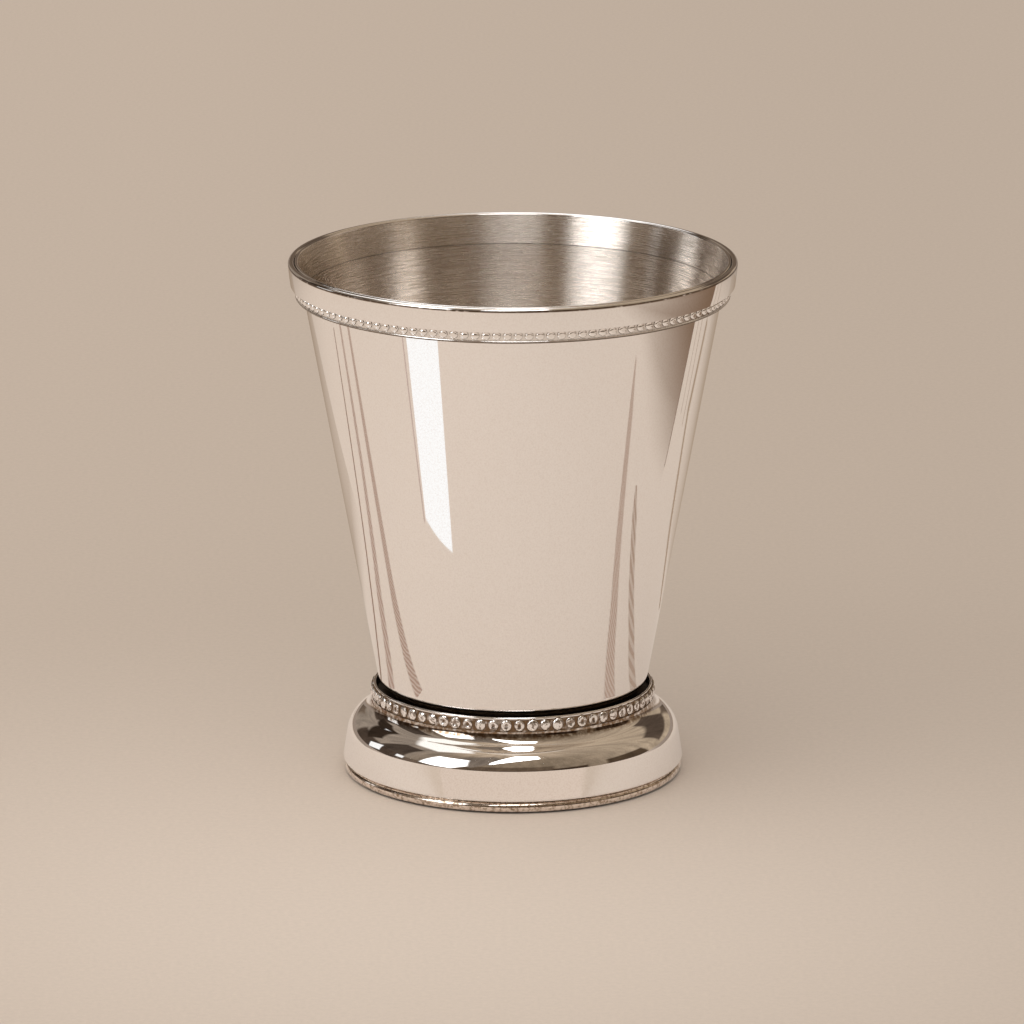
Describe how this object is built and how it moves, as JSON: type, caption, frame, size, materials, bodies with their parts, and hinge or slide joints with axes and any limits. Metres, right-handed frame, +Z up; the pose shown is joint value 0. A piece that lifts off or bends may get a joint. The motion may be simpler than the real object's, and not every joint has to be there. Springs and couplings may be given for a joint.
{
  "type": "julep cup",
  "caption": "Footed, tapering metal drinking cup with a beaded band round its flared mouth and a beaded, hollow spun foot.",
  "frame": {"origin": "centre of the underside, on the surface that the cup stands on", "axes": "+Z up through the mouth, along the axis of turning"},
  "size_m": [0.089, 0.089, 0.1045],
  "materials": {
    "plated_sheet": "nickel plate, mirror polished outside and with spinning lines inside",
    "plated_moulding": "nickel plate, mirror polished",
    "plated_beading": "nickel plate, polished, darker in the hollows between the beads",
    "plated_foot": "nickel plate, mirror polished",
    "plated_wire": "nickel plate, polished, a little worn and tarnished",
    "solder": "dull soft solder"
  },
  "bodies": {
    "root": {"bowl": "plated_sheet", "rim_band": "plated_moulding", "rim_beading": "plated_beading", "rim_solder": "solder", "foot_collar": "plated_moulding", "foot_beading": "plated_beading", "foot_shell": "plated_foot", "base_wire": "plated_wire", "seat_solder": "solder", "neck_solder": "solder", "base_solder": "solder"}
  },
  "joints": []
}
